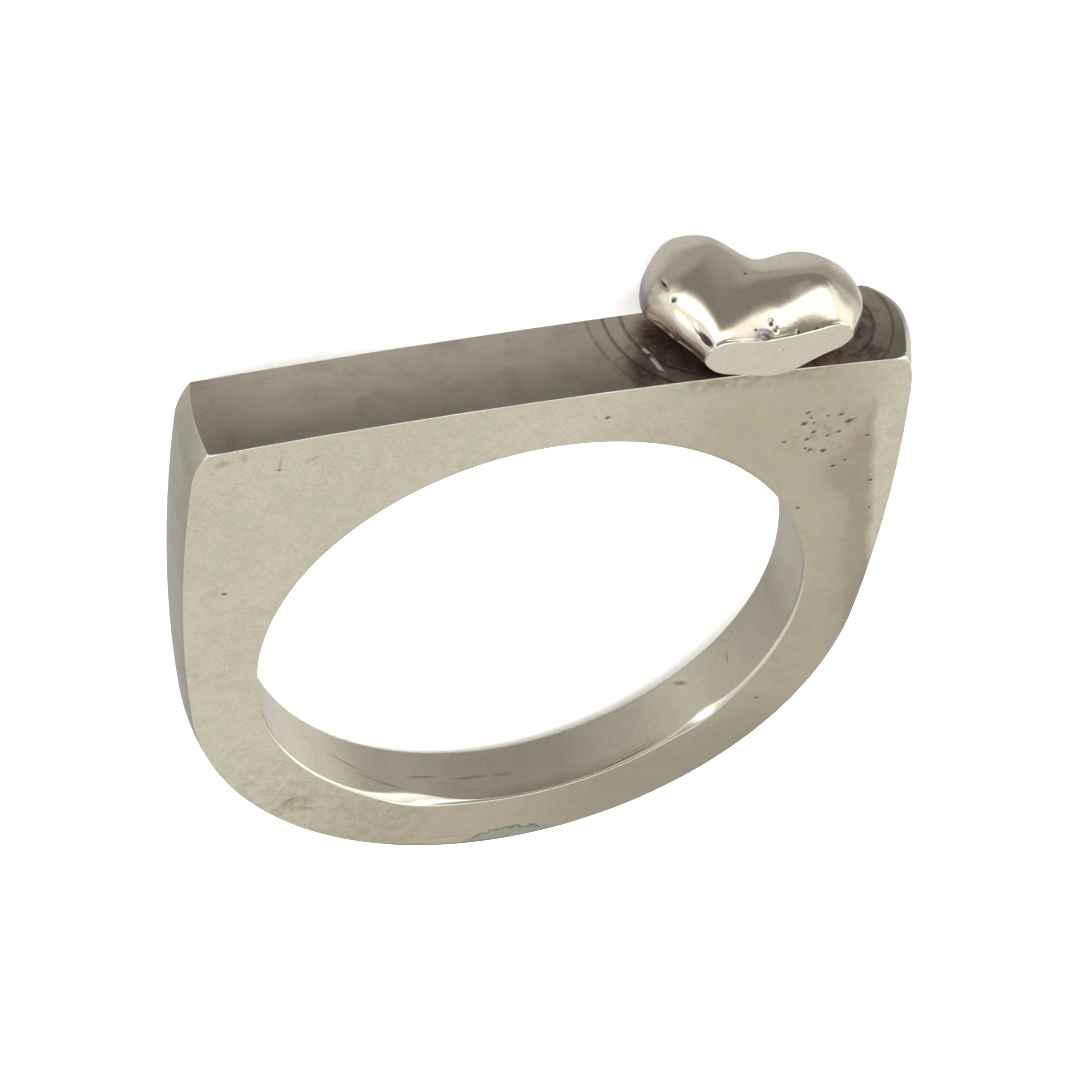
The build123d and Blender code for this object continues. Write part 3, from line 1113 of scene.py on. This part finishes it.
    def surface(self) -> tuple[Array, Array]:
        """The whole closed surface: the outer side, the back face, the hole and the front face.

        Each of them is a strip of columns, with a rounded edge between it and the next.

        Returns:
            Points of shape (stations, columns, 3), and the number of each one's finish.
        """
        depth = np.linspace(-1, 1, self.outer_columns)
        flat, stretches = self.outline(depth)
        outer = self.outer(flat, depth, stretches == Stretch.BAR.value)
        front, back = outer[:, 0], outer[:, -1]
        front_rim, back_rim = self.rim(front, -1), self.rim(back, 1)
        wear, rim_wear = self.edge_wear(front), self.rim_wear(front_rim)
        bevel = self.bevel_least + rim_wear * self.bevel_share
        back_wear, bore_wear = np.full(len(wear), self.back_round), np.full(len(wear), self.bore_round)
        back_face = self.straight(back, back_rim, self.back_round, self.bore_round, self.face_columns)
        strips = (
            (None, self.strip(front, back, outer, wear, self.outer_back_round)),
            (Finish.FLANK, self.turned(back, outer[:, -2], back_rim, back_wear, back_wear)),
            (Finish.BACK_FACE, back_face),
            (Finish.BORE, self.turned(back_rim, back, front_rim, bore_wear, bore_wear)),
            (Finish.BORE, self.straight(back_rim, front_rim, self.bore_round, rim_wear, self.bore_columns)),
            (Finish.RIM, self.turned(front_rim, back_rim, front, rim_wear, bevel, self.bevel_power)),
            (Finish.SATIN_FACE, self.straight(front_rim, front, bevel, wear, self.face_columns)),
            (Finish.EDGE, self.turned(front, front_rim, outer[:, 1], wear, wear)),
        )
        points = np.concatenate([strip for _, strip in strips], axis=1)
        outside = np.full(len(stretches), Finish.FLANK.number)
        outside[stretches == Stretch.BAR.value] = Finish.BRUSHED_TOP.number
        outside[stretches == Stretch.LEFT_CORNER.value] = Finish.EDGE.number
        numbers = [np.broadcast_to(outside[:, None] if finish is None else finish.number, strip.shape[:2])
                   for finish, strip in strips]
        return points, np.concatenate(numbers, axis=1)

    def rim_wear(self, rim: Array) -> Array:
        """Size of the rounding of the hole's front rim, largest at two worn places beside the foot.

        On each side it is the sum of a narrow bell curve of the angle, exp(-x^2), and a wide flat one,
        exp(-x^4), and the greater side takes it from the least rounding towards the most.

        Args:
            rim: Points of the rim, shape (stations, 3).

        Returns:
            The size at each point, shape (stations,).
        """
        angle = np.degrees(np.arctan2(rim[:, 2], rim[:, 0]))
        left = 0.10 * np.exp(-(((angle + 132) / 38) ** 4)) + 0.80 * np.exp(-(((angle + 113) / 9) ** 2))
        right = 0.60 * np.exp(-(((angle + 43) / 6) ** 2)) + 0.10 * np.exp(-(((angle + 16) / 34) ** 4))
        share = np.clip(np.maximum(left, right), 0, 1)
        return self.bore_round_least + (self.rim_wear_most - self.bore_round_least) * share

    def edge_wear(self, edge: Array) -> Array:
        """Size of the rounding along the front edge, larger where the top corners are rubbed.

        Each corner adds a bell curve, exp(-(distance / 0.2)^2), and a product of two sines makes it uneven.

        Args:
            edge: Points of the edge, shape (stations, 3).

        Returns:
            The size at each point, shape (stations,).
        """
        right = np.exp(-((edge[:, 0] - 10.2) ** 2 + (edge[:, 2] - 10.4) ** 2) / 0.2**2)
        left = np.exp(-((edge[:, 0] + 10.1) ** 2 + (edge[:, 2] - 10.4) ** 2) / 0.2**2)
        uneven = np.sin(edge[:, 0] * 2.3 + edge[:, 2] * 1.1) * np.sin(edge[:, 0] * 0.9 - edge[:, 2] * 1.7)
        return self.edge_round + 0.13 * right + 0.06 * left + 0.007 * uneven

    @staticmethod
    def strip(start: Array, end: Array, outer: Array, front_round: Array, back_round: float) -> Array:
        """The outer side with its two edge columns moved in by the roundings, and one more beside each.

        Args:
            start: The front edge, shape (stations, 3).
            end: The back edge.
            outer: The whole outer side, shape (stations, depths, 3).
            front_round: Size of the rounding of the front edge, shape (stations,).
            back_round: Size of the rounding of the back edge.

        Returns:
            Points of shape (stations, depths + 2, 3).
        """
        first = unit(outer[:, 1] - outer[:, 0]) * front_round[:, None]
        last = unit(outer[:, -2] - outer[:, -1]) * back_round
        before = np.stack([start + first, start + 1.25 * first], axis=1)
        after = np.stack([end + 1.25 * last, end + last], axis=1)
        return np.concatenate([before, outer[:, 1:-1], after], axis=1)

    @staticmethod
    def straight(start: Array, end: Array, from_start: Array | float, from_end: Array | float,
                 count: int) -> Array:
        """Columns from a start line to an end line, set in from both, with one more beside each end.

        Args:
            start: The start line, shape (stations, 3).
            end: The end line.
            from_start: How far from the start line the first column is, one value or shape (stations,).
            from_end: How far from the end line the last column is.
            count: Number of columns without the two extra ones.

        Returns:
            Points of shape (stations, count + 2, 3), start + share (end - start).
        """
        along = end - start
        length = np.linalg.norm(along, axis=-1)
        first = np.broadcast_to(from_start, length.shape) / length
        last = 1 - np.broadcast_to(from_end, length.shape) / length
        inner = np.linspace(0, 1, count)
        inner = np.concatenate([[0, 0.02], inner[1:-1], [0.98, 1]])
        shares = first[:, None] + (last - first)[:, None] * inner[None, :]
        return start[:, None] + along[:, None] * shares[..., None]

    def turned(self, corner: Array, before: Array, after: Array, size_before: Array, size_after: Array,
               power: float = 2.0) -> Array:
        """Rounded edge: inner columns of the curve from one side of a corner line to the other side.

        Args:
            corner: The line where both surfaces would meet, shape (stations, 3).
            before: Points of the surface that comes before it.
            after: Points of the surface that comes after it.
            size_before: How far the curve starts from the line, shape (stations,).
            size_after: How far from the line it ends.
            power: 2 for a round edge, and nearer to 1 for a flat bevel.

        Returns:
            Points of shape (stations, columns, 3), corner + (1-t)^power a + t^power b.
        """
        share = np.linspace(0, 1, self.round_columns + 2)[None, 1:-1, None]
        side_before = unit(before - corner)[:, None] * size_before[:, None, None]
        side_after = unit(after - corner)[:, None] * size_after[:, None, None]
        return corner[:, None] + (1 - share) ** power * side_before + share**power * side_after

    def build(self, materials: dict[Finish, bpy.types.Material]) -> bpy.types.Object:
        """Makes the band.

        Args:
            materials: The material of each finish.

        Returns:
            The band's object.
        """
        points, finishes = self.surface()
        faces = sheet_faces(*finishes.shape, True, True)
        piece = make_mesh("band", points.reshape(-1, 3), [faces], list(materials.values()),
                          finishes.reshape(-1))
        add_piece(piece)
        return piece


@dataclass(frozen=True)
class Dent:
    """Dip in the heart's top: its middle across and along the heart, its half sizes, turn and depth."""

    across: float
    along: float
    half_length: float
    half_width: float
    turn: float
    depth: float

    def press(self, points: Array, equator: float) -> Array:
        """Depth of the dip at each point: depth times exp(-(along / half length)^2 - (aside / half width)^2).

        Args:
            points: Points in the heart's own frame, shape (..., 3).
            equator: Height of the heart's widest line, under which nothing is pressed.

        Returns:
            How far each point goes down.
        """
        turn = radians(self.turn)
        x, y = points[..., 0] - self.across, points[..., 1] - self.along
        along = (x * cos(turn) + y * sin(turn)) / self.half_length
        aside = (y * cos(turn) - x * sin(turn)) / self.half_width
        above = np.clip((points[..., 2] - equator) / 0.2, 0, 1)
        return self.depth * above * np.exp(-(along**2) - aside**2)


class Section(NamedTuple):
    """One section of the heart. All but the depth, in millimetres, are shares.

    Across is of the half width, back of the lobes' reach, front of the point's reach and rise of the heart's
    rise over its widest line. Then come how far the top's flat reaches to the front, how upright the slope
    under it is, where the ridge lies between back and front, and how round the lobes are at the back. Depth
    is how deep the under side is, and the last two are how upright its front is and how far its flat reaches
    to the front.
    """

    across: Array | float
    back: Array | float
    front: Array | float
    rise: Array | float
    flat: Array | float
    steep: Array | float
    ridge: Array | float
    lobe: Array | float
    depth: Array | float
    under_steep: Array | float
    under_flat: Array | float


@dataclass
class Heart:
    """The puffed heart: ovals of four curves carried from its left end to its right end, filed off in front.

    Lengths are in millimetres.
    """

    band: Band
    along: float = 6.0
    across: float = 0.60
    turn: float = 21.0
    lean: float = 3.0
    half_width: float = 3.20
    lobe_reach: float = 1.96
    point_reach: float = 3.50
    equator: float = 0.86
    rise: float = 1.42
    proud: float = 0.024
    belly_fullness: float = 0.70
    edge_round: float = 0.028
    full_rise: float = 0.9
    rows: int = 280
    quarter_columns: int = 56
    sections: tuple[Section, ...] = (
        Section(-0.97, 0.27, 0.21, 0.38, 0.82, 0.31, 0.55, 0.61, 0.30, 0.00, 0.15),
        Section(-0.88, 0.60, 0.34, 0.69, 0.98, 0.45, 0.48, 0.67, 0.60, 0.00, 0.15),
        Section(-0.70, 0.91, 0.49, 0.91, 0.98, 0.43, 0.43, 0.60, 0.90, 0.02, 0.25),
        Section(-0.47, 1.00, 0.67, 0.98, 0.81, 0.35, 0.35, 0.52, 0.98, 0.10, 0.62),
        Section(-0.22, 0.88, 0.86, 0.84, 0.90, 0.18, 0.31, 0.47, 1.02, 0.33, 0.77),
        Section(0.00, 0.73, 0.88, 0.82, 0.57, 0.00, 0.34, 0.42, 1.06, 0.50, 0.74),
        Section(0.22, 0.92, 0.79, 0.84, 0.40, 0.00, 0.39, 0.41, 1.22, 0.69, 0.81),
        Section(0.47, 0.98, 0.71, 0.92, 0.25, 0.00, 0.43, 0.43, 1.09, 0.57, 0.73),
        Section(0.70, 0.80, 0.61, 0.83, 0.22, 0.26, 0.45, 0.51, 0.76, 0.18, 0.53),
        Section(0.88, 0.50, 0.42, 0.57, 0.48, 0.52, 0.47, 0.64, 0.60, 0.00, 0.37),
        Section(0.97, 0.20, 0.17, 0.34, 0.62, 0.67, 0.51, 0.70, 0.50, 0.10, 0.45),
    )
    dents: tuple[Dent, ...] = (
        Dent(-1.24, -2.31, 0.34, 0.055, -49.0, 0.10), Dent(-2.50, -0.78, 0.20, 0.05, -62.0, 0.05),
        Dent(-2.19, -1.29, 0.08, 0.06, 0.0, 0.05), Dent(0.58, -1.58, 0.08, 0.06, 20.0, 0.035),
        Dent(0.72, -1.74, 0.06, 0.05, 0.0, 0.03), Dent(0.46, -2.02, 0.20, 0.10, 0.0, 0.03),
        Dent(1.37, -1.67, 0.06, 0.04, 0.0, 0.02), Dent(-0.07, 0.95, 0.05, 0.16, 0.0, 0.05),
    )

    @property
    def foot(self) -> Array:
        """The place on the crowned bar that the heart stands on."""
        crown = self.band.bar_crown * (self.along / self.band.bar_half_length) ** 2
        return np.array([self.along, self.across, self.band.bar_height - crown])

    @property
    def axes(self) -> Array:
        """The heart's three directions as rows: across it, along it to the lobes, and up.

        Returns:
            An array of shape (3, 3), the bar's own directions turned, then leaned.
        """
        turn, lean = radians(-self.turn), radians(self.lean)
        across = np.array([cos(turn) * cos(lean), sin(turn) * cos(lean), sin(lean)])
        up = np.array([-cos(turn) * sin(lean), -sin(turn) * sin(lean), cos(lean)])
        return np.stack([across, np.cross(up, across), up])

    def section(self, across: Array) -> Section:
        """The section at each place across the heart, by natural splines through the table's sections.

        Reach and rise fall to nothing at the two ends like the root of 1 - across^2, so their splines go
        through the shares divided by that root, and are multiplied by it again.

        Args:
            across: Shares of the half width, from -1 to 1, shape (rows,).

        Returns:
            A section whose columns each have shape (rows,).
        """
        table = np.array(self.sections).T
        knots, root, falling = table[0], np.sqrt(1 - table[0] ** 2), np.sqrt(np.maximum(1 - across**2, 0))
        reaches = [natural_spline(knots, column / root, across) * falling for column in table[1:4]]
        return Section(across, *reaches, *(natural_spline(knots, column, across) for column in table[4:]))

    @staticmethod
    def quarter(level: tuple[Array, Array], peak: tuple[Array, Array], steep: Array, flat: Array,
                share: Array) -> Array:
        """Quarter of an oval: the cubic curve whose two handles point at the corner between its ends.

        Args:
            level: Its level end, along and up, each of shape (rows,).
            peak: Its highest or lowest point, along and up.
            steep: The level end's handle, as a share of the way to the corner.
            flat: The peak's handle, as a share of the way to the corner.
            share: Shares along the curve, shape (k,).

        Returns:
            Points of shape (rows, k, 2).
        """
        level_point, peak_point = np.stack(level, -1), np.stack(peak, -1)
        level_handle = np.stack([level[0], level[1] + steep * (peak[1] - level[1])], -1)
        peak_handle = np.stack([peak[0] + flat * (level[0] - peak[0]), peak[1]], -1)
        t = share[None, :, None]
        return ((1 - t) ** 3 * level_point[:, None] + 3 * t * (1 - t) ** 2 * level_handle[:, None]
                + 3 * t**2 * (1 - t) * peak_handle[:, None] + t**3 * peak_point[:, None])

    def surface(self) -> Array:
        """The heart before it is filed: four quarters of an oval at each place across it, then the dents.

        Returns:
            Points of the heart's own frame, shape (rows, columns, 3).
        """
        across = -np.cos(np.linspace(0, pi, self.rows + 2)[1:-1])
        found = self.section(across)
        back, front = found.back * self.lobe_reach, -found.front * self.point_reach
        level = np.full_like(across, self.equator)
        ridge = back + found.ridge * (front - back)
        rise = found.rise * self.rise
        top, under = level + rise, level - found.depth * np.clip(rise / self.full_rise, 0, 1)
        belly = np.full_like(across, self.belly_fullness)
        share = np.linspace(0, 1, self.quarter_columns + 1)
        quarters = (
            self.quarter((back, level), (ridge, top), found.lobe, found.lobe, share)[:, :-1],
            self.quarter((front, level), (ridge, top), found.steep, found.flat, share)[:, :0:-1],
            self.quarter((front, level), (ridge, under), found.under_steep, found.under_flat,
                         share)[:, :-1],
            self.quarter((back, level), (ridge, under), belly, belly, share)[:, :0:-1],
        )
        section = np.concatenate(quarters, axis=1)
        wide = np.broadcast_to((across * self.half_width)[:, None], section.shape[:2])
        points = np.concatenate([wide[..., None], section], axis=-1)
        points[..., 2] -= np.sum([dent.press(points, self.equator) for dent in self.dents], axis=0)
        return points

    def to_ring(self, points: Array) -> Array:
        """Turns points of the heart's own frame into the upright ring's."""
        return self.foot + points @ self.axes

    def filed(self, points: Array) -> tuple[Array, Array]:
        """Presses what stands in front of the filing plane back on to it, with a small rounding at its rim.

        A point's depth behind the plane becomes r ln(1 + exp(depth / r)), which is its own depth well behind
        the plane and nothing in front of it.

        Args:
            points: Points of the upright ring, shape (..., 3).

        Returns:
            The filed points, and how far each stands behind the plane before it is filed.
        """
        slope = (self.band.width_at_top - self.band.width_at_foot) / 2 / self.band.fall
        inward = unit(np.array([0.0, 1.0, slope]))
        on_plane = np.array([0.0, -self.band.face_depth(0.0) - self.proud, 0.0])
        behind = (points - on_plane) @ inward
        kept = self.edge_round * np.logaddexp(0, behind / self.edge_round)
        return points + (kept - behind)[..., None] * inward, behind

    def build(self, materials: dict[Finish, bpy.types.Material]) -> bpy.types.Object:
        """Makes the heart.

        Args:
            materials: The material of each finish.

        Returns:
            The heart's object.
        """
        grid = self.to_ring(self.surface())
        rows, columns = grid.shape[:2]
        tips = np.array([[end * self.half_width, 0, self.equator] for end in (-1, 1)])
        points, behind = self.filed(np.concatenate([grid.reshape(-1, 3), self.to_ring(tips)]))
        body = sheet_faces(rows, columns, False, True)
        ring = np.arange(columns)
        first, last = rows * columns, rows * columns + 1
        left_cap = np.stack([np.full(columns, first), (ring + 1) % columns, ring], -1)
        offset = (rows - 1) * columns
        right_cap = np.stack([np.full(columns, last), offset + ring, offset + (ring + 1) % columns], -1)
        slots = [(behind[group].mean(axis=1) < 0.0).astype(int) for group in (body, left_cap, right_cap)]
        piece = make_mesh("heart", points, [body, left_cap, right_cap],
                          [materials[Finish.HEART], materials[Finish.FACET]], np.concatenate(slots))
        add_piece(piece)
        return piece


@dataclass(frozen=True)
class Glow:
    """A soft bright or dim patch of the studio, as a direction in the frame and its half sizes in degrees."""

    azimuth: float
    elevation: float
    half_width: float
    half_height: float
    tone: float
    soft_width: float = 14.0
    soft_height: float = 6.0


@dataclass(frozen=True)
class Studio:
    """Plain pale floor, soft light and the camera.

    Azimuths turn from the frame's +Y towards +X. Tones are in the render's own linear light. The camera's
    place and aim are in the upright ring, in millimetres.
    """

    floor_radius: float = 3.0
    floor_drop: float = 0.00002
    floor_tone: tuple[float, float, float, float] = rgb(0.93, 0.92535, 0.91605)
    upper: float = 0.64
    low_dim: float = 0.27
    low_deep: float = 0.54
    deep: tuple[float, float] = (-25.0, -70.0)
    horizon: tuple[float, float] = (-8.0, 12.0)
    floor_light: float = 3.8
    backdrop: float = 0.97
    glows: tuple[Glow, ...] = (
        Glow(191.0, -34.0, 76.0, 15.0, 0.36, 25.0, 7.2),
        Glow(170.0, -12.5, 45.0, 17.4, 0.225, 23.5, 5.5),
        Glow(170.0, 43.0, 48.0, 27.5, 0.30, 13.7, 3.0),
        Glow(8.0, -46.0, 30.0, 13.0, 0.46, 14.0, 6.0),
        Glow(-60.0, -37.0, 32.0, 14.0, 0.69, 22.0, 6.0),
        Glow(-85.7, -8.0, 42.0, 9.2, 0.66, 20.4, 9.1),
        Glow(-43.4, -12.7, 19.2, 12.5, 0.97, 14.7, 8.2),
        Glow(-157.0, 12.5, 9.0, 5.0, 1.10, 6.0, 4.0),
        Glow(-105.4, 11.9, 47.0, 10.5, 1.17, 7.7, 8.0),
        Glow(-148.0, 29.0, 18.5, 3.8, 1.55, 9.7, 4.0),
        Glow(175.3, 13.5, 24.0, 4.6, 2.20, 9.0, 3.3),
        Glow(-110.0, 42.0, 28.0, 13.0, 1.50, 10.0, 6.0),
        Glow(-130.0, 80.0, 180.0, 10.0, 1.80, 1.0, 5.0),
        Glow(138.0, 5.7, 30.5, 11.8, 1.65, 13.8, 7.8),
        Glow(111.3, -3.4, 46.0, 20.5, 0.91, 16.5, 9.2),
        Glow(108.0, 20.0, 14.0, 9.0, 1.50, 8.0, 5.0),
        Glow(151.0, 3.0, 13.0, 9.0, 1.90, 8.0, 5.0),
        Glow(113.0, -35.0, 16.0, 9.0, 0.54, 5.0, 5.0),
        Glow(81.4, -22.8, 20.0, 14.3, 0.52, 11.4, 6.6),
    )
    overhead_size: float = 0.60
    overhead_place: tuple[float, float, float] = (0.05, 0.10, 0.45)
    overhead_watts: float = 1.6
    eye: tuple[float, float, float] = (-19.418, -52.405, 66.384)
    aim: tuple[float, float, float] = (0.238, 0.0, 3.016)
    roll: float = -7.058
    focal_pixels: float = 2800.0
    frame_pixels: float = 1080.0
    sensor: float = 36.0

    def world(self) -> None:
        """Lights the scene by direction: an even upper half, a dim lower half and the soft patches."""
        world = bpy.data.worlds.new("studio")
        bpy.context.scene.world = world
        world.use_nodes = True
        shop = Shop(world.node_tree)
        seen = shop.node("ShaderNodeTexCoord", output="Generated")
        split = shop.make("ShaderNodeSeparateXYZ", None, {"Vector": seen})
        x, y, z = (Wire(shop, split.outputs[axis]) for axis in "XYZ")
        elevation = shop.node("ShaderNodeMath", {"operation": "ARCSINE"}, {0: z}) * degrees(1.0)
        low = self.low_dim + elevation.step(*self.deep) * (self.low_deep - self.low_dim)
        tone = low + elevation.step(*self.horizon) * (self.upper - low)
        for glow in self.glows:
            middle = radians(glow.azimuth)
            ahead, aside = x * sin(middle) + y * cos(middle), x * cos(middle) - y * sin(middle)
            turn = abs(aside.angle(ahead) * degrees(1.0)) - glow.half_width
            rise = abs(elevation - glow.elevation) - glow.half_height
            patch = (turn.step(glow.soft_width, -glow.soft_width)
                     * rise.step(glow.soft_height, -glow.soft_height))
            tone = tone + patch * (glow.tone - tone)
        # The floor is lit evenly, and the backdrop is plain where the camera sees it straight.
        lit = shop.node("ShaderNodeLightPath", output="Is Diffuse Ray")
        tone = tone + lit * (self.floor_light - tone)
        seen_straight = shop.node("ShaderNodeLightPath", output="Is Camera Ray")
        tone = tone + seen_straight * (self.backdrop - tone)
        grey = shop.vector(tone, tone, tone)
        light = shop.node("ShaderNodeBackground", None, {"Color": grey}, "Background")
        shop.make("ShaderNodeOutputWorld", None, {"Surface": light})

    def floor(self) -> None:
        """Makes the floor, a wide round sheet just under the ring."""
        turns = np.linspace(0, 2 * pi, 96, endpoint=False)
        points = np.stack([np.cos(turns), np.sin(turns), np.zeros_like(turns)], -1) * self.floor_radius
        points[:, 2] = -self.floor_drop
        mesh = bpy.data.meshes.new("floor")
        mesh.from_pydata(points, [], [list(range(len(turns)))])
        material = bpy.data.materials.new("pale_floor")
        material.use_nodes = True
        shop = Shop(material.node_tree)
        shader = shop.node("ShaderNodeBsdfPrincipled", None, {
            "Base Color": self.floor_tone, "Roughness": 0.9, "Specular IOR Level": 0.1}, "BSDF")
        shop.make("ShaderNodeOutputMaterial", None, {"Surface": shader})
        mesh.materials.append(material)
        floor = bpy.data.objects.new("floor", mesh)
        bpy.context.scene.collection.objects.link(floor)
        floor.visible_glossy = False

    def overhead(self) -> None:
        """Hangs a wide soft light over the ring. It lights the floor and isn't mirrored in the metal."""
        lamp = bpy.data.lights.new("overhead", "AREA")
        lamp.shape = "DISK"
        lamp.size = self.overhead_size
        lamp.energy = self.overhead_watts
        light = bpy.data.objects.new("overhead", lamp)
        light.location = self.overhead_place
        light.visible_glossy = False
        bpy.context.scene.collection.objects.link(light)

    def camera(self) -> None:
        """Sets the camera where the photograph's was, by its place, aim and roll in the upright ring."""
        eye, aim = np.array(self.eye), np.array(self.aim)
        forward = unit(aim - eye)
        level = unit(np.cross(forward, [0.0, 0.0, 1.0]))
        upright = np.cross(level, forward)
        roll = radians(self.roll)
        up = upright * cos(roll) + level * sin(roll)
        right = np.cross(forward, up)
        turned = PLACE.axes @ np.column_stack([right, up, -forward])
        camera = bpy.data.cameras.new("camera")
        camera.sensor_width = self.sensor
        camera.lens = self.focal_pixels / self.frame_pixels * self.sensor
        camera.clip_start, camera.clip_end = 0.002, 20.0
        camera_object = bpy.data.objects.new("camera", camera)
        matrix = Matrix(turned.tolist()).to_4x4()
        matrix.translation = PLACE.to_frame(eye)
        camera_object.matrix_world = matrix
        bpy.context.scene.collection.objects.link(camera_object)
        bpy.context.scene.camera = camera_object

    def build(self) -> None:
        """Sets the whole stage and the render's plain colour response."""
        self.world()
        self.floor()
        self.overhead()
        self.camera()
        bpy.context.scene.view_settings.view_transform = "Standard"


def main() -> None:
    logging.basicConfig(level=logging.INFO, format="%(name)s %(message)s")
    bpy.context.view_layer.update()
    Studio().build()
    materials = {metal.name: metal.build() for metal in METALS}
    band = Band()
    band.build(materials)
    Heart(band).build(materials)


if __name__ == "__main__":
    main()
